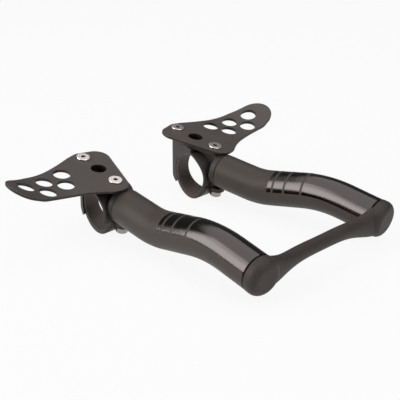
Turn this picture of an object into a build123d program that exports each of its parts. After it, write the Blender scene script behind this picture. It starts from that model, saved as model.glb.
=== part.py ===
"""Aero handlebar extension: two clamps, two S-bend tubes, two armrest plates and a front bridge.

X points to the rider's right, Y forward and Z up. The origin is on the handlebar's axis, midway
between the clamps. The right-hand pieces are modelled, and the left-hand ones are their mirror images.
"""

import os
from math import cos, radians, sin, tan

from build123d import *

# Handlebar clamp: places on it are measured outboard and forward of its middle
bar_diameter = 31.8
clamp_spacing = 96.4
clamp_pitch = 11.5
seat_height = 22.0
lug_radius = 5.0
lug_place = (-1.4, -20.1)
nose_radius = 15.4
nose_place = (1.2, 11.0)
slab_rear_radius = 5.5
slab_front_radius = 8.0
slab_corner = (-6.5, -1.5, 5.5)
front_limit = 18.5
lip_radius = 21.6
lip_angle = 223.0
heel_height = -1.0
saddle_wall = 1.6
slab_thickness = 2.4
web_thickness = 9.0
pocket_back = -1.6
boss_height = 9.0
relief_depth = 4.0

# Clamp strap and its bolt
strap_nose = (-1.7, 9.5, 11.0)
strap_thickness = 2.8
ear_radius = 6.3
tongue_thickness = 2.1
tongue_angle = 160.0
strap_clearance = 0.15
ear_top = -4.0
ear_thickness = 3.0
clamp_gap = 1.5
clamp_bolt_reach = 18.6
clamp_bolt_engagement = 10.0

# Fasteners, all M5
thread_diameter = 5.0
thread_clearance = 0.05
thread_runout = 1.0
bolt_hole_diameter = 5.4
cap_head_diameter = 8.5
cap_head_height = 5.0
cap_head_chamfer = 0.5
head_clearance = 0.4
cap_socket = 4.0
cap_socket_depth = 2.6
low_head_diameter = 10.0
low_head_height = 1.0
low_head_crown = 0.5
low_socket = 3.0
low_socket_depth = 1.8
armrest_bolt_engagement = 6.0

# Extension tube: its path is drawn in an upright plane that leans outboard by the toe angle
tube_diameter = 25.4
tube_wall = 1.6
toe_angle = 5.45
tube_offset = -0.6
seam_reach = 22.6
seam_height = 4.7
dip_reach = 56.4
dip_height = -0.5
dip_radius = 60.0
crest_reach = 109.8
crest_height = 8.0
crest_radius = 95.0
end_reach = 150.1
end_height = -0.6
collar_diameter = 25.0
collar_length = 4.4
spigot_length = 18.0
spigot_wall = 3.0
plug_clearance = 0.1
seam_chamfer = 0.5

# Armrest plate: places on it are measured outboard and forward of its centre hole. Lobes are given by
# centre and radius, and waists by their deepest point and radius.
plate_thickness = 2.0
plate_toe = 4.5
plate_cant = 1.9
plate_centre = (0.6, -5.3)
plate_bolt_spacing = 36.5
plate_bolt_offset = 0.5
plate_chamfer = 0.35
centre_hole_diameter = 11.0
flat_reach = 31.3
curl_radius = 100.0
curl_angle = 35.0
inner_lobe = (-8.0, -13.1, 10.0)
rear_lobe = (1.3, -17.5, 7.5)
front_lobe = (2.8, 20.9, 10.2)
tip_lobe = (64.6, 6.6, 13.3)
front_waist = (45.3, 19.8, 67.2)
rear_waist = (81.2, -8.2, 180.0)
waist_blend = 12.0
lightening_hole_diameter = 12.0
first_hole = (26.6, -6.1)
hole_pitch = 18.3
row_gap = 11.3
row_angle = 14.4

# Front bridge: its bar is lofted through ellipses, given by x, height of top and bottom edges,
# and how far the ellipse is set forward of the middle one
cap_overhang = 0.2
cap_length = 9.0
cap_edge = 5.4
plug_length = 16.0
plug_wall = 3.0
bar_depth = 9.8
bar_sections = (
    (0.0, 4.6, -5.2, 0.0),
    (28.0, 4.9, -6.3, 0.5),
    (42.0, 5.8, -9.2, 1.6),
    (51.0, 8.2, -11.2, 2.6),
    (58.0, 9.8, -11.8, 2.8),
)

bar_radius = bar_diameter / 2
tube_radius = tube_diameter / 2
tube_bore_radius = tube_radius - tube_wall
clamp_x = clamp_spacing / 2
reach_over = 4 * bar_radius

os.makedirs("parts", exist_ok=True)


def polar(radius, angle):
    """Point at an angle in degrees, from forward towards up."""
    return radius * cos(radians(angle)), radius * sin(radians(angle))


def rows_of_holes():
    """Places of the lightening holes: three in the rear row and two staggered in front of it."""
    along = Vector(*polar(1, row_angle))
    across = Vector(*polar(1, row_angle + 90))
    start = Vector(*first_hole)
    rear_row = [start + along * hole_pitch * i for i in range(3)]
    front_row = [start + along * hole_pitch * (i + 0.5) + across * row_gap for i in range(2)]
    return rear_row + front_row


# Planes. The clamp is drawn in planes pitched nose down, and the plate lies on its seat.
pitch = radians(clamp_pitch)
clamp_forward = Vector(0, cos(pitch), -sin(pitch))
clamp_up = Vector(0, sin(pitch), cos(pitch))
clamp_side = Plane(origin=(clamp_x, 0, 0), x_dir=clamp_forward, z_dir=(1, 0, 0))
clamp_base = Plane(origin=(clamp_x, 0, 0), x_dir=clamp_forward, z_dir=clamp_up)
clamp_plan = Plane(origin=(clamp_x, 0, -reach_over))

toe = radians(toe_angle)
arm_plane = Plane(
    origin=(clamp_x + tube_offset, 0, 0),
    x_dir=(sin(toe), cos(toe), 0),
    z_dir=(cos(toe), -sin(toe), 0),
)

seat_normal = Vector(tan(radians(plate_cant)), tan(pitch), 1).normalized()
seat_z = (seat_height - plate_centre[1] * sin(pitch)) / cos(pitch)
seat = Plane(
    origin=(clamp_x + plate_centre[0], plate_centre[1], seat_z),
    x_dir=(cos(radians(plate_toe)), -sin(radians(plate_toe)), 0),
    z_dir=seat_normal,
)
plate_top = seat.offset(plate_thickness)
bolt_places = [(0, plate_bolt_offset + side * plate_bolt_spacing / 2) for side in (-1, 1)]

with BuildLine(arm_plane) as tube_path:
    FilletPolyline(
        (seam_reach, seam_height),
        (dip_reach, dip_height),
        (crest_reach, crest_height),
        (end_reach, end_height),
        radius=[dip_radius, crest_radius],
    )
seam = Plane(origin=tube_path.line @ 0, x_dir=(1, 0, 0), z_dir=tube_path.line % 0)
tube_end = Plane(origin=tube_path.line @ 1, x_dir=(1, 0, 0), z_dir=tube_path.line % 1)

# Clamp body: teardrop seen from above, cut to its side profile, with collar and spigot for the tube
with BuildPart() as right_clamp_body:
    with BuildSketch(clamp_plan):
        with Locations(lug_place):
            Circle(lug_radius)
        with Locations(nose_place):
            Circle(nose_radius)
        make_hull()
    extrude(amount=2 * reach_over)
    with BuildSketch(clamp_side):
        with BuildLine():
            heel = (lug_place[1] - lug_radius, heel_height)
            lip_end = polar(lip_radius, lip_angle)
            underside = ear_top + clamp_gap
            TangentArc(heel, lip_end, tangent=(0, -1))
            Polyline(
                lip_end,
                (0, 0),
                (bar_radius / 2, underside),
                (front_limit, underside),
                (front_limit, reach_over),
                (-reach_over, reach_over),
                (-reach_over, heel_height),
                heel,
            )
        make_face()
    extrude(amount=reach_over, both=True, mode=Mode.INTERSECT)
    split(bisect_by=seat.offset(-slab_thickness), keep=Keep.BOTTOM)
    # The front is cut back to a wall round the bar
    with BuildSketch(clamp_side):
        with Locations((pocket_back, 0)):
            Rectangle(reach_over, 2 * reach_over, align=(Align.MIN, Align.CENTER))
        Circle(bar_radius + saddle_wall, mode=Mode.SUBTRACT)
    extrude(amount=reach_over, both=True, mode=Mode.SUBTRACT)
    # Slab that the armrest plate is bolted to
    with BuildSketch(seat):
        with Locations(bolt_places[0]):
            Circle(slab_rear_radius)
        with Locations(bolt_places[1]):
            Circle(slab_front_radius)
        with Locations(slab_corner[:2]):
            Circle(slab_corner[2])
        make_hull()
    extrude(amount=-slab_thickness)
    # Web under the middle of the slab
    with BuildSketch(clamp_side):
        with Locations((front_limit, seat_height - slab_thickness / 2)):
            Rectangle(front_limit, seat_height, align=(Align.MAX, Align.MAX))
        Circle(bar_radius, mode=Mode.SUBTRACT)
    extrude(amount=web_thickness / 2, both=True)
    # Boss that the clamp bolt is threaded into
    with BuildSketch(clamp_base.offset(underside)):
        with Locations((clamp_bolt_reach, 0)):
            Circle(ear_radius)
    extrude(amount=boss_height)
    split(bisect_by=seam.offset(-collar_length / 2), keep=Keep.BOTTOM)
    # Collar, with the spigot that the tube slides over
    with BuildSketch(seam):
        Circle(collar_diameter / 2)
    extrude(amount=-collar_length)
    chamfer(right_clamp_body.edges().sort_by(Axis.Y)[-1], seam_chamfer)
    with BuildSketch(seam):
        Circle(tube_bore_radius - plug_clearance)
    extrude(amount=spigot_length)
    with BuildSketch(seam.offset(spigot_length)):
        Circle(tube_bore_radius - plug_clearance - spigot_wall)
    extrude(amount=-spigot_length / 2, mode=Mode.SUBTRACT)
    # Bore for the handlebar and the recess for the strap's tongue
    with BuildSketch(clamp_side):
        Circle(bar_radius)
    extrude(amount=reach_over, both=True, mode=Mode.SUBTRACT)
    with BuildSketch(clamp_side):
        with BuildLine():
            Polyline(
                (0, 0),
                polar(reach_over, tongue_angle - 1),
                polar(reach_over, (tongue_angle + lip_angle) / 2),
                polar(reach_over, lip_angle + 1),
                close=True,
            )
        make_face()
        Circle(bar_radius + tongue_thickness + strap_clearance, mode=Mode.INTERSECT)
    extrude(amount=reach_over, both=True, mode=Mode.SUBTRACT)
    # Threaded holes for the three bolts, and the relief under the plate's centre hole
    with BuildSketch(clamp_base.offset(ear_top)):
        with Locations((clamp_bolt_reach, 0)):
            Circle(thread_diameter / 2 + thread_clearance)
    extrude(amount=clamp_bolt_engagement + 2 * clamp_gap, mode=Mode.SUBTRACT)
    with BuildSketch(seat):
        with Locations(*bolt_places):
            Circle(thread_diameter / 2 + thread_clearance)
    extrude(amount=-armrest_bolt_engagement - thread_runout, mode=Mode.SUBTRACT)
    with BuildSketch(seat):
        Circle(centre_hole_diameter / 2)
    extrude(amount=-relief_depth, mode=Mode.SUBTRACT)
right_clamp_body.part.label = "right_clamp_body"
export_step(right_clamp_body.part, "parts/right_clamp_body.step")

# Clamp strap: wraps the bar from below, with a thin tongue behind the lip and a round ear in front
with BuildPart() as right_clamp_strap:
    with BuildSketch(clamp_side):
        with BuildLine():
            Polyline(
                (0, 0),
                polar(reach_over, lip_angle + 1),
                (0, -reach_over),
                (reach_over, -reach_over),
                (reach_over, ear_top),
                (0, ear_top),
                close=True,
            )
        make_face()
        Circle(bar_radius + strap_thickness, mode=Mode.INTERSECT)
    extrude(amount=reach_over, both=True)
    with BuildSketch(clamp_side):
        with BuildLine():
            Polyline(
                (0, 0),
                polar(reach_over, tongue_angle),
                polar(reach_over, (tongue_angle + lip_angle) / 2),
                polar(reach_over, lip_angle + 3),
                close=True,
            )
        make_face()
        Circle(bar_radius + tongue_thickness, mode=Mode.INTERSECT)
    extrude(amount=reach_over, both=True)
    with BuildSketch(clamp_plan):
        with Locations(lug_place):
            Circle(lug_radius)
        with Locations(strap_nose[:2]):
            Circle(strap_nose[2])
        make_hull()
    extrude(amount=2 * reach_over, mode=Mode.INTERSECT)
    # Ear that the clamp bolt goes through
    with BuildSketch(clamp_base.offset(ear_top)):
        with Locations((clamp_bolt_reach / 2, 0)):
            Rectangle(clamp_bolt_reach, 2 * ear_radius)
        with Locations((clamp_bolt_reach, 0)):
            Circle(ear_radius)
    extrude(amount=-ear_thickness)
    with BuildSketch(clamp_side):
        Circle(bar_radius)
    extrude(amount=reach_over, both=True, mode=Mode.SUBTRACT)
    with BuildSketch(clamp_base.offset(ear_top)):
        with Locations((clamp_bolt_reach, 0)):
            Circle(bolt_hole_diameter / 2)
    extrude(amount=-reach_over, mode=Mode.SUBTRACT)
    with BuildSketch(clamp_base.offset(ear_top - ear_thickness)):
        with Locations((clamp_bolt_reach, 0)):
            Circle(cap_head_diameter / 2 + head_clearance)
    extrude(amount=-reach_over, mode=Mode.SUBTRACT)
right_clamp_strap.part.label = "right_clamp_strap"
export_step(right_clamp_strap.part, "parts/right_clamp_strap.step")

# Clamp bolts: socket head cap screws, one from below on each side
with BuildPart() as clamp_bolts:
    head_seat = clamp_base.offset(ear_top - ear_thickness)
    with BuildSketch(head_seat):
        with Locations((clamp_bolt_reach, 0)):
            Circle(cap_head_diameter / 2)
    extrude(amount=-cap_head_height)
    chamfer(clamp_bolts.faces().sort_by(Axis.Z)[0].edges(), cap_head_chamfer)
    with BuildSketch(head_seat):
        with Locations((clamp_bolt_reach, 0)):
            Circle(thread_diameter / 2)
    extrude(amount=ear_thickness + clamp_gap + clamp_bolt_engagement)
    with BuildSketch(head_seat.offset(-cap_head_height)):
        with Locations((clamp_bolt_reach, 0)):
            RegularPolygon(cap_socket / 2, 6, major_radius=False)
    extrude(amount=cap_socket_depth, mode=Mode.SUBTRACT)
    mirror(about=Plane.YZ)
clamp_bolts.part.label = "clamp_bolts"
export_step(clamp_bolts.part, "parts/clamp_bolts.step")

# Extension tube: one bent tube from the clamp's collar to the bridge
with BuildPart() as right_extension_tube:
    with BuildSketch(seam):
        Circle(tube_radius)
        Circle(tube_bore_radius, mode=Mode.SUBTRACT)
    sweep(path=tube_path.line)
    for end in right_extension_tube.faces().filter_by(GeomType.PLANE):
        chamfer(end.outer_wire().edges(), seam_chamfer)
right_extension_tube.part.label = "right_extension_tube"
export_step(right_extension_tube.part, "parts/right_extension_tube.step")

# Armrest plate: bent sheet, cut to its outline and pierced
with BuildPart() as right_armrest_plate:
    with BuildSketch(Plane(origin=seat.origin, x_dir=seat.x_dir, z_dir=-seat.y_dir)):
        with BuildLine():
            bottom = Line((-reach_over, 0), (flat_reach, 0))
            bottom_curl = JernArc(bottom @ 1, bottom % 1, curl_radius, curl_angle)
            across = (bottom_curl % 1).rotate(Axis.Z, 90) * plate_thickness
            end = Line(bottom_curl @ 1, bottom_curl @ 1 + across)
            top_curl = JernArc(end @ 1, -(bottom_curl % 1), curl_radius - plate_thickness, -curl_angle)
            top = Line(top_curl @ 1, (-reach_over, plate_thickness))
            Line(top @ 1, bottom @ 0)
        make_face()
    extrude(amount=reach_over, both=True)
    with BuildSketch(seat) as outline:
        for x, y, radius in (inner_lobe, rear_lobe, front_lobe, tip_lobe):
            with Locations((x, y)):
                Circle(radius)
        make_hull()
        for side, (x, y, radius) in ((1, front_waist), (-1, rear_waist)):
            centre = Vertex(x, y + side * radius)
            with Locations(centre):
                Circle(radius, mode=Mode.SUBTRACT)
            corners = outline.vertices().sort_by(lambda v: abs(v.distance_to(centre) - radius))
            fillet(corners[:2], waist_blend)
    extrude(amount=reach_over, both=True, mode=Mode.INTERSECT)
    rim = right_armrest_plate.edges().filter_by(Axis(seat.origin, seat.z_dir), reverse=True)
    chamfer(rim.filter_by(Axis(seat.origin, seat.y_dir), reverse=True), plate_chamfer)
    with BuildSketch(seat):
        with Locations(*rows_of_holes()):
            Circle(lightening_hole_diameter / 2)
        with Locations(*bolt_places):
            Circle(bolt_hole_diameter / 2)
        Circle(centre_hole_diameter / 2)
    extrude(amount=reach_over, both=True, mode=Mode.SUBTRACT)
right_armrest_plate.part.label = "right_armrest_plate"
export_step(right_armrest_plate.part, "parts/right_armrest_plate.step")

# Armrest bolts: low heads with a crown and a hex socket, two on each plate
with BuildPart() as armrest_bolts:
    with BuildSketch(plate_top):
        with Locations(*bolt_places):
            Circle(low_head_diameter / 2)
    extrude(amount=low_head_height)
    head_tops = armrest_bolts.faces().sort_by(Axis(plate_top.origin, plate_top.z_dir))[-2:]
    fillet(head_tops.edges(), low_head_crown)
    with BuildSketch(plate_top.offset(low_head_height)):
        with Locations(*bolt_places):
            RegularPolygon(low_socket / 2, 6, major_radius=False)
    extrude(amount=-low_socket_depth, mode=Mode.SUBTRACT)
    with BuildSketch(plate_top):
        with Locations(*bolt_places):
            Circle(thread_diameter / 2)
    extrude(amount=-plate_thickness - armrest_bolt_engagement)
    mirror(about=Plane.YZ)
armrest_bolts.part.label = "armrest_bolts"
export_step(armrest_bolts.part, "parts/armrest_bolts.step")

# Front bridge: a cap and plug at each tube end, and a bar that flares into the caps
with BuildPart() as front_bridge:
    with BuildSketch(tube_end):
        Circle(tube_radius + cap_overhang)
    extrude(amount=cap_length)
    fillet(front_bridge.faces().sort_by(Axis.Y)[-1].edges(), cap_edge)
    chamfer(front_bridge.faces().sort_by(Axis.Y)[0].edges(), seam_chamfer)
    bar_y = (tube_path.line @ 1).Y
    left_sections = [(-x, top, bottom, ahead) for x, top, bottom, ahead in bar_sections[:0:-1]]
    for x, top, bottom, ahead in (*left_sections, *bar_sections):
        with BuildSketch(Plane.YZ.offset(x)):
            with Locations((bar_y + ahead, (top + bottom) / 2)):
                Ellipse(bar_depth / 2, (top - bottom) / 2)
    loft()
    split(bisect_by=Plane.YZ, keep=Keep.TOP)
    # The bar stops at the tube's end, and the plug goes in
    with BuildSketch(tube_end):
        Circle(tube_radius + cap_overhang)
    extrude(amount=-plug_length, mode=Mode.SUBTRACT)
    with BuildSketch(tube_end):
        Circle(tube_bore_radius - plug_clearance)
    extrude(amount=-plug_length)
    with BuildSketch(tube_end.offset(-plug_length)):
        Circle(tube_bore_radius - plug_clearance - plug_wall)
    extrude(amount=plug_length / 2, mode=Mode.SUBTRACT)
    mirror(about=Plane.YZ)
front_bridge.part.label = "front_bridge"
export_step(front_bridge.part, "parts/front_bridge.step")

# Left-hand pieces
with BuildPart() as left_clamp_body:
    mirror(right_clamp_body.part, about=Plane.YZ)
left_clamp_body.part.label = "left_clamp_body"
export_step(left_clamp_body.part, "parts/left_clamp_body.step")

with BuildPart() as left_clamp_strap:
    mirror(right_clamp_strap.part, about=Plane.YZ)
left_clamp_strap.part.label = "left_clamp_strap"
export_step(left_clamp_strap.part, "parts/left_clamp_strap.step")

with BuildPart() as left_extension_tube:
    mirror(right_extension_tube.part, about=Plane.YZ)
left_extension_tube.part.label = "left_extension_tube"
export_step(left_extension_tube.part, "parts/left_extension_tube.step")

with BuildPart() as left_armrest_plate:
    mirror(right_armrest_plate.part, about=Plane.YZ)
left_armrest_plate.part.label = "left_armrest_plate"
export_step(left_armrest_plate.part, "parts/left_armrest_plate.step")
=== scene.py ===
"""Aero handlebar extension: materials, floor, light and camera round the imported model."""

from math import atan, cos, hypot, pi, radians, sin

import bpy
from mathutils import Euler, Matrix, Vector


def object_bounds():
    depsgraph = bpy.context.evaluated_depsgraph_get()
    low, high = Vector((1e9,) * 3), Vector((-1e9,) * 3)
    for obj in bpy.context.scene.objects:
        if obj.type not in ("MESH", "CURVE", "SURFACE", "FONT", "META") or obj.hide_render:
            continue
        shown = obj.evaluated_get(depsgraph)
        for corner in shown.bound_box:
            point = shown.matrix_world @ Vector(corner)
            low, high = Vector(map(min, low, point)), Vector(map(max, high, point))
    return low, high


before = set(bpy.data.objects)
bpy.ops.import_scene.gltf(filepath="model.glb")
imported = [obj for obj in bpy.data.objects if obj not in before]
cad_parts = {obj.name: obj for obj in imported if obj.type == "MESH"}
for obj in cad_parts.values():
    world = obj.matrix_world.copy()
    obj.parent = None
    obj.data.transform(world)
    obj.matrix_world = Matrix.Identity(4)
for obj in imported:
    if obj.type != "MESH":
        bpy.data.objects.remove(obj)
cad_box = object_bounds()
scene = bpy.context.scene

# Lengths are in metres, and places in the part's own frame.

# Extension tube: its axis leans outboard by the toe angle, and is drawn along that lean as straight
# runs from one height to the next, rounded at the dip and at the crest
TUBE_AXIS_X = 0.0476
TOE = radians(5.45)
TUBE_CORNERS = ((0.0226, 0.0047), (0.0564, -0.0005), (0.1098, 0.0080), (0.1501, -0.0006))
DIP_RADIUS = 0.060
CREST_RADIUS = 0.095
SMOOTH_DIVISOR = 6  # a smooth minimum leaves a corner by its distance over this

# Dark seams at the tube's ends, against the clamp's collar and the bridge's cap
COLLAR_SEAM = 0.0006
CAP_SEAM = 0.0011

# Polished panel on the tube's front run, cut by matte rings. Angles are measured upwards from the
# tube's sides. The panel is rolled inboard, so the dark rim below its own angle shows inboard alone.
# That dark rim is a painted reflection of the dark gap between floor and wall.
PANEL_START = 0.0694
PANEL_START_SOFTNESS = 0.0002
PANEL_EDGE_ANGLE = radians(6.5)
PANEL_ROLL = radians(3.0)
PANEL_REFLECTION_RIM_ANGLE = radians(9.0)
ANGLE_SOFTNESS = radians(1)
RING_PLACES = (0.0738, 0.0834, 0.0975)
RING_WIDTH = 0.0018
RING_SOFTNESS = 0.0001
PANEL_COLOUR = (0.093, 0.083, 0.082, 1.0)
PANEL_ROUGHNESS = (0.09, 0.14)
HAZE_SCALE = 60.0
HAZE_RANGE = (0.35, 0.7)

# Clamp: its bore round the handlebar, painted paler as painted light, and the relief under the plate's
# centre hole, painted near black as painted shade. The relief's upright axis is given outboard and
# forward, with a height just below its floor. The margins take in the walls.
BAR_RADIUS = 0.0159
BORE_MARGIN = 0.0002
BORE_PAINTED_LIGHT_TONE = 0.10
RELIEF_AXIS = (0.0488, -0.0053)
RELIEF_RADIUS = 0.0055
RELIEF_MARGIN = 0.0004
RELIEF_BOTTOM = 0.0171
RELIEF_PAINTED_SHADE_TONE = 0.004

# Armrest plate: faces turned well away from the seat's normal are cut edges, given painted shade
SEAT_PITCH = radians(11.5)
SEAT_NORMAL = (0.0, sin(SEAT_PITCH), cos(SEAT_PITCH))
CUT_EDGE_SHADE_RANGE = (0.3, 0.5)

# Bolts: steel that other surfaces close in within the shade distance, as in the sockets, is dark, a
# painted shade
SOCKET_SHADE = 0.0025
SOCKET_RANGE = (0.4, 0.95)
SOCKET_PAINTED_SHADE_TONE = 0.06
STEEL_WARMTH = 0.1
STEEL_METALLIC = 0.95
STEEL_ROUGHNESS = (0.20, 0.30)
SCRATCH_SCALE = 1500.0
SCRATCH_DEPTH = 0.00002

# Black surfaces in general
BLACK_WARMTH = 0.28
BLUE_FALL = 0.4
DARK_TONE = 0.006
NOISE_RANGE = (0.3, 0.7)
MARKS_SCALE = 45.0
GRAIN_SHARE = 0.55
ROUGHNESS_SPREAD = 0.05

# Floor, world, and the part of a softbox's height over which it fades
FLOOR_HALF = 12.0
FLOOR_COLOUR = (0.7, 0.7, 0.7, 1.0)
FLOOR_ROUGHNESS = 0.9
GLOW_COLOUR = (1.0, 1.0, 1.0, 1.0)
GLOW_SHARE = 0.9
WORLD_COLOUR = (0.10, 0.097, 0.097, 1.0)
FADE_START = 0.4
FADE_END = 0.95

# Camera at the photo's viewing angle, with its azimuth counted from +X
CAMERA_PLACE = (0.520, 0.5265, 0.275)
CAMERA_AZIMUTH = radians(42.8)
CAMERA_ELEVATION = radians(21.1)
CAMERA_LENS = 98.0
CAMERA_SENSOR = 36.0
CAMERA_CLIP = (0.01, 100.0)


class Tree:
    """Short calls for building a material's nodes."""

    def __init__(self, name):
        self.material = bpy.data.materials.new(name)
        self.material.use_nodes = True
        self.nodes = self.material.node_tree.nodes
        self.links = self.material.node_tree.links
        self.shader = self.nodes["Principled BSDF"]
        places = self.nodes.new("ShaderNodeTexCoord").outputs
        self.coordinates = places["Object"]
        self.normal = places["Normal"]

    def feed(self, socket, value):
        """Sets a socket to a plain value, or links it to another socket."""
        if isinstance(value, bpy.types.NodeSocket):
            self.links.new(value, socket)
        else:
            socket.default_value = value

    def set(self, **values):
        """Feeds the shader's sockets, named in lower case with underscores."""
        for name, value in values.items():
            self.feed(self.shader.inputs[name.replace("_", " ").title()], value)

    def linked(self, name):
        """What is linked to a socket of the shader."""
        return self.shader.inputs[name].links[0].from_socket

    def split(self):
        """The three coordinates of a place on the piece."""
        node = self.nodes.new("ShaderNodeSeparateXYZ")
        self.links.new(self.coordinates, node.inputs[0])
        return node.outputs

    def math(self, operation, *values):
        node = self.nodes.new("ShaderNodeMath")
        node.operation = operation
        for socket, value in zip(node.inputs, values):
            self.feed(socket, value)
        return node.outputs[0]

    def length(self, first, second):
        """Length of a vector in a plane, from its two parts."""
        square = self.math("MULTIPLY_ADD", first, first, self.math("MULTIPLY", second, second))
        return self.math("SQRT", square)

    def along(self, vector, direction):
        """How far a vector points in a direction."""
        node = self.nodes.new("ShaderNodeVectorMath")
        node.operation = "DOT_PRODUCT"
        self.links.new(vector, node.inputs[0])
        node.inputs[1].default_value = direction
        return node.outputs["Value"]

    def ramp(self, value, low, high, start=0.0, end=1.0):
        """Value carried smoothly from the range low to high over to start to end."""
        node = self.nodes.new("ShaderNodeMapRange")
        node.interpolation_type = "SMOOTHSTEP"
        for name, setting in zip(
            ("Value", "From Min", "From Max", "To Min", "To Max"),
            (value, low, high, start, end),
        ):
            self.feed(node.inputs[name], setting)
        return node.outputs["Result"]

    def step(self, value, place, softness):
        """Step from 0 to 1 at a place, softened to either side of it."""
        return self.ramp(value, place - softness, place + softness)

    def noise(self, scale, detail, roughness=0.55):
        node = self.nodes.new("ShaderNodeTexNoise")
        self.links.new(self.coordinates, node.inputs["Vector"])
        node.inputs["Scale"].default_value = scale
        node.inputs["Detail"].default_value = detail
        node.inputs["Roughness"].default_value = roughness
        return node.outputs["Fac"]

    def blend(self, factor, first, second, kind="FLOAT"):
        """Numbers blended by a factor."""
        node = self.nodes.new("ShaderNodeMix")
        node.data_type = kind
        self.feed(node.inputs["Factor"], factor)
        self.feed(node.inputs["A"], first)
        self.feed(node.inputs["B"], second)
        return node.outputs["Result"]

    def mix(self, factor, first, second):
        """Colours blended by a factor."""
        return self.blend(factor, first, second, "RGBA")

    def bump(self, height, distance):
        node = self.nodes.new("ShaderNodeBump")
        node.inputs["Distance"].default_value = distance
        self.links.new(height, node.inputs["Height"])
        self.links.new(node.outputs["Normal"], self.shader.inputs["Normal"])


def grey(value, warmth=BLACK_WARMTH):
    """Grey that leans to red: red rises by the warmth, and blue falls by a part of it."""
    return value * (1 + warmth), value, value * (1 - warmth * BLUE_FALL), 1.0


def blasted(name, dark, light, rough, grain_scale, grain_depth, gloss=0.5):
    """Black anodised metal or moulded plastic with a fine grain and faint handling marks."""
    tree = Tree(name)
    tree.shader.inputs["Specular IOR Level"].default_value = gloss
    grain = tree.noise(grain_scale, detail=2.0)
    marks = tree.noise(MARKS_SCALE, detail=4.0, roughness=0.6)
    tone = tree.ramp(tree.blend(GRAIN_SHARE, marks, grain), *NOISE_RANGE)
    tree.set(
        base_color=tree.mix(tone, grey(dark), grey(light)),
        roughness=tree.ramp(marks, *NOISE_RANGE, rough - ROUGHNESS_SPREAD, rough + ROUGHNESS_SPREAD),
    )
    tree.bump(grain, grain_depth)
    return tree


def tube_height(tree, reach):
    """Height of the tube's axis at a reach along its lean."""
    slopes = []
    runs = []
    for (start, low), (end, high) in zip(TUBE_CORNERS, TUBE_CORNERS[1:]):
        slope = (high - low) / (end - start)
        slopes.append(slope)
        runs.append(tree.math("MULTIPLY_ADD", reach, slope, low - slope * start))

    def rounding(first, second, radius):
        """Smoothing distance whose curve leaves a corner by as much as an arc of this radius."""
        turn = atan(second) - atan(first)
        return SMOOTH_DIVISOR * radius * (1 / cos(turn / 2) - 1)

    dip = tree.math("SMOOTH_MAX", runs[0], runs[1], rounding(slopes[0], slopes[1], DIP_RADIUS))
    return tree.math("SMOOTH_MIN", dip, runs[2], rounding(slopes[1], slopes[2], CREST_RADIUS))


def end_distance(tree, reach, z, corner, neighbour):
    """Distance from the tube's end at a corner of its path, measured towards the next corner."""
    run = neighbour[0] - corner[0]
    rise = neighbour[1] - corner[1]
    length = hypot(run, rise)
    across = tree.math("MULTIPLY", tree.math("SUBTRACT", reach, corner[0]), run / length)
    return tree.math("MULTIPLY_ADD", tree.math("SUBTRACT", z, corner[1]), rise / length, across)


def tube_material():
    """Matte tube with a polished panel on the upper half of its front run, a painted dark reflection
    on the panel's lower rim, and dark end seams.
    """
    tree = blasted(
        "tube_black",
        dark=0.036,
        light=0.050,
        rough=0.46,
        grain_scale=2400.0,
        grain_depth=0.00004,
        gloss=0.25,
    )
    x, y, z = tree.split()
    side = tree.math("SUBTRACT", tree.math("ABSOLUTE", x), TUBE_AXIS_X)
    reach = tree.math("MULTIPLY_ADD", side, sin(TOE), tree.math("MULTIPLY", y, cos(TOE)))
    lateral = tree.math("MULTIPLY_ADD", side, cos(TOE), tree.math("MULTIPLY", y, -sin(TOE)))
    height = tree.math("SUBTRACT", z, tube_height(tree, reach))
    angle = tree.math("ARCTAN2", height, tree.math("ABSOLUTE", lateral))
    rolled = tree.math("MULTIPLY_ADD", tree.math("SIGN", lateral), -PANEL_ROLL, angle)

    panel = tree.math(
        "MULTIPLY",
        tree.step(rolled, PANEL_EDGE_ANGLE, ANGLE_SOFTNESS),
        tree.step(reach, PANEL_START, PANEL_START_SOFTNESS),
    )
    for place in RING_PLACES:
        away = tree.math("ABSOLUTE", tree.math("SUBTRACT", reach, place))
        panel = tree.math("MULTIPLY", panel, tree.step(away, RING_WIDTH / 2, RING_SOFTNESS))

    # Painted reflection: below the rim's angle the panel is coloured near black for the dark gap
    # between floor and wall that it would mirror.
    above_painted_reflection = tree.step(angle, PANEL_REFLECTION_RIM_ANGLE, ANGLE_SOFTNESS)
    panel_colour = tree.mix(above_painted_reflection, grey(DARK_TONE), PANEL_COLOUR)
    colour = tree.mix(panel, tree.linked("Base Color"), panel_colour)
    ends = (
        (TUBE_CORNERS[0], TUBE_CORNERS[1], COLLAR_SEAM),
        (TUBE_CORNERS[-1], TUBE_CORNERS[-2], CAP_SEAM),
    )
    for corner, neighbour, width in ends:
        seam = tree.math("LESS_THAN", end_distance(tree, reach, z, corner, neighbour), width)
        colour = tree.mix(seam, colour, grey(DARK_TONE))

    haze = tree.ramp(tree.noise(HAZE_SCALE, detail=4.0), *HAZE_RANGE, *PANEL_ROUGHNESS)
    tree.set(
        base_color=colour,
        roughness=tree.blend(panel, tree.linked("Roughness"), haze),
        metallic=panel,
    )
    return tree.material


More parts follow.
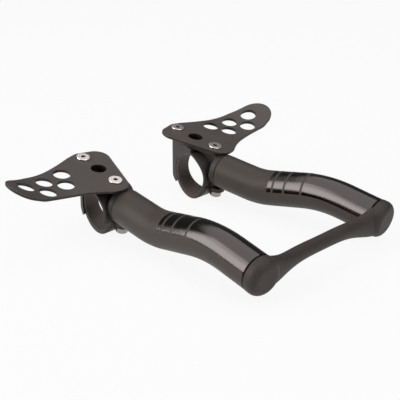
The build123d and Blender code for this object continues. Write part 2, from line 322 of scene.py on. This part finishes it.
def clamp_material():
    """Black clamp with a paler bore as painted light, and a dark relief under the plate as painted
    shade.
    """
    tree = blasted(
        "clamp_black",
        dark=0.019,
        light=0.030,
        rough=0.48,
        grain_scale=2200.0,
        grain_depth=0.00006,
        gloss=0.35,
    )
    x, y, z = tree.split()
    # Painted light: the bore is coloured paler to stand in for the light that reaches inside it.
    bore_painted_light = tree.math("LESS_THAN", tree.length(y, z), BAR_RADIUS + BORE_MARGIN)
    colour = tree.mix(bore_painted_light, tree.linked("Base Color"), grey(BORE_PAINTED_LIGHT_TONE))

    # Painted shade: inside the relief under the plate's centre hole the colour is near black for the
    # shade in that recess.
    sideways = tree.math("SUBTRACT", tree.math("ABSOLUTE", x), RELIEF_AXIS[0])
    forward = tree.math("SUBTRACT", y, RELIEF_AXIS[1])
    near = tree.math("LESS_THAN", tree.length(sideways, forward), RELIEF_RADIUS + RELIEF_MARGIN)
    relief_shade = tree.math("MULTIPLY", tree.math("GREATER_THAN", z, RELIEF_BOTTOM), near)
    tree.set(base_color=tree.mix(relief_shade, colour, grey(RELIEF_PAINTED_SHADE_TONE)))
    return tree.material


def plate_material():
    """Black plate with painted shade on its cut edges."""
    tree = blasted(
        "plate_black",
        dark=0.038,
        light=0.053,
        rough=0.48,
        grain_scale=2600.0,
        grain_depth=0.00004,
    )
    facing = tree.math("ABSOLUTE", tree.along(tree.normal, SEAT_NORMAL))
    unshaded_face = tree.ramp(facing, *CUT_EDGE_SHADE_RANGE)
    # Painted shade: the cut edges' sides are coloured near black for the shade that falls on them.
    tree.set(base_color=tree.mix(unshaded_face, grey(DARK_TONE), tree.linked("Base Color")))
    return tree.material


def bridge_material():
    """Black moulded plastic."""
    tree = blasted(
        "bridge_black",
        dark=0.023,
        light=0.035,
        rough=0.56,
        grain_scale=1800.0,
        grain_depth=0.00006,
        gloss=0.35,
    )
    return tree.material


def bolt_material(name, dark, light):
    """Plated steel with fine turning marks and painted shade in the sockets."""
    tree = Tree(name)
    scratch = tree.noise(SCRATCH_SCALE, detail=4.0)
    nearby = tree.nodes.new("ShaderNodeAmbientOcclusion")
    nearby.inputs["Distance"].default_value = SOCKET_SHADE
    outside_painted_shade = tree.ramp(nearby.outputs["AO"], *SOCKET_RANGE)
    steel = tree.mix(scratch, grey(dark, STEEL_WARMTH), grey(light, STEEL_WARMTH))
    tree.set(
        # Painted shade: where ambient occlusion finds nearby surfaces, the colour falls to the socket
        # tone.
        base_color=tree.mix(outside_painted_shade, grey(SOCKET_PAINTED_SHADE_TONE), steel),
        roughness=tree.ramp(scratch, *NOISE_RANGE, *STEEL_ROUGHNESS),
        metallic=STEEL_METALLIC,
    )
    tree.bump(scratch, SCRATCH_DEPTH)
    return tree.material


def floor_material():
    """Pale, near white to the camera and in reflections, and still shaded by the object."""
    tree = Tree("floor_pale")
    tree.set(base_color=FLOOR_COLOUR, roughness=FLOOR_ROUGHNESS)
    glow = tree.nodes.new("ShaderNodeEmission")
    glow.inputs["Color"].default_value = GLOW_COLOUR
    path = tree.nodes.new("ShaderNodeLightPath").outputs
    seen = tree.math("MAXIMUM", path["Is Camera Ray"], path["Is Glossy Ray"])
    seen = tree.math("MAXIMUM", seen, path["Is Transmission Ray"])
    share = tree.nodes.new("ShaderNodeMixShader")
    tree.links.new(tree.math("MULTIPLY", seen, GLOW_SHARE), share.inputs[0])
    tree.links.new(tree.shader.outputs[0], share.inputs[1])
    tree.links.new(glow.outputs[0], share.inputs[2])
    tree.links.new(share.outputs[0], tree.nodes["Material Output"].inputs["Surface"])
    return tree.material


# The last of these words that a node's name holds gives its material, so bolts come after clamps
materials = {
    "clamp": clamp_material(),
    "plate": plate_material(),
    "bridge": bridge_material(),
    "tube": tube_material(),
    # Painted light and shade: both bolt sets are one steel, the clamp bolts coloured darker as painted
    # shade and the armrest bolts near white as painted light.
    "clamp_bolts": bolt_material("clamp_bolt_steel_painted_shade", dark=0.24, light=0.34),
    "armrest_bolts": bolt_material("armrest_bolt_steel_painted_light", dark=0.85, light=0.95),
}
for name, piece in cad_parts.items():
    for word, material in materials.items():
        if word in name:
            chosen = material
    piece.data.materials.clear()
    piece.data.materials.append(chosen)

# Floor under the object's lowest point
mesh = bpy.data.meshes.new("floor")
floor_height = cad_box[0][2]
corner_signs = ((-1, -1), (1, -1), (1, 1), (-1, 1))
mesh.from_pydata(
    [(x * FLOOR_HALF, y * FLOOR_HALF, floor_height) for x, y in corner_signs],
    [],
    [(0, 1, 2, 3)],
)
floor = bpy.data.objects.new("floor", mesh)
scene.collection.objects.link(floor)
mesh.materials.append(floor_material())

# Soft studio light: a wide box overhead, a tall one at the object's side and a smaller one in front
world = bpy.data.worlds.new("studio")
scene.world = world
world.use_nodes = True
world.node_tree.nodes["Background"].inputs["Color"].default_value = WORLD_COLOUR


def softbox(name, place, target, width, height, brightness, top_share=1.0):
    """Area light whose power gives its face that brightness, fading to a share of it at the top."""
    light = bpy.data.lights.new(name, "AREA")
    light.shape = "RECTANGLE"
    light.size = width
    light.size_y = height
    light.energy = brightness * width * height * pi
    light.use_nodes = True
    nodes = light.node_tree.nodes
    links = light.node_tree.links
    rise = nodes.new("ShaderNodeSeparateXYZ")
    links.new(nodes.new("ShaderNodeNewGeometry").outputs["Parametric"], rise.inputs[0])
    fade = nodes.new("ShaderNodeMapRange")
    links.new(rise.outputs["Y"], fade.inputs["Value"])
    for limit, setting in zip(
        ("From Min", "From Max", "To Min", "To Max"),
        (FADE_START, FADE_END, 1.0, top_share),
    ):
        fade.inputs[limit].default_value = setting
    links.new(fade.outputs["Result"], nodes["Emission"].inputs["Strength"])
    lamp = bpy.data.objects.new(name, light)
    lamp.location = place
    lamp.rotation_euler = (Vector(target) - Vector(place)).to_track_quat("-Z", "Y").to_euler()
    lamp.visible_camera = False
    scene.collection.objects.link(lamp)


softbox(
    "overhead",
    place=(-0.12, -0.01, 1.3),
    target=(-0.12, -0.01, 0.0),
    width=2.24,
    height=2.12,
    brightness=1.15,
)
softbox(
    "side_wall",
    place=(1.279, -0.674, 1.03),
    target=(0.0, 0.11, 1.03),
    width=1.59,
    height=1.82,
    brightness=3.8,
    top_share=0.3,
)
softbox(
    "front_fill",
    place=(-0.1, 1.6, 0.9),
    target=(0.0, 0.05, 0.0),
    width=1.4,
    height=1.0,
    brightness=2.3,
)

camera = bpy.data.cameras.new("camera")
camera.sensor_width = CAMERA_SENSOR
camera.lens = CAMERA_LENS
camera.clip_start, camera.clip_end = CAMERA_CLIP
viewer = bpy.data.objects.new("camera", camera)
turn = Euler((pi / 2 - CAMERA_ELEVATION, 0.0, pi / 2 + CAMERA_AZIMUTH))
viewer.matrix_world = Matrix.LocRotScale(Vector(CAMERA_PLACE), turn, None)
scene.collection.objects.link(viewer)
scene.camera = viewer

scene.view_settings.view_transform = "Standard"
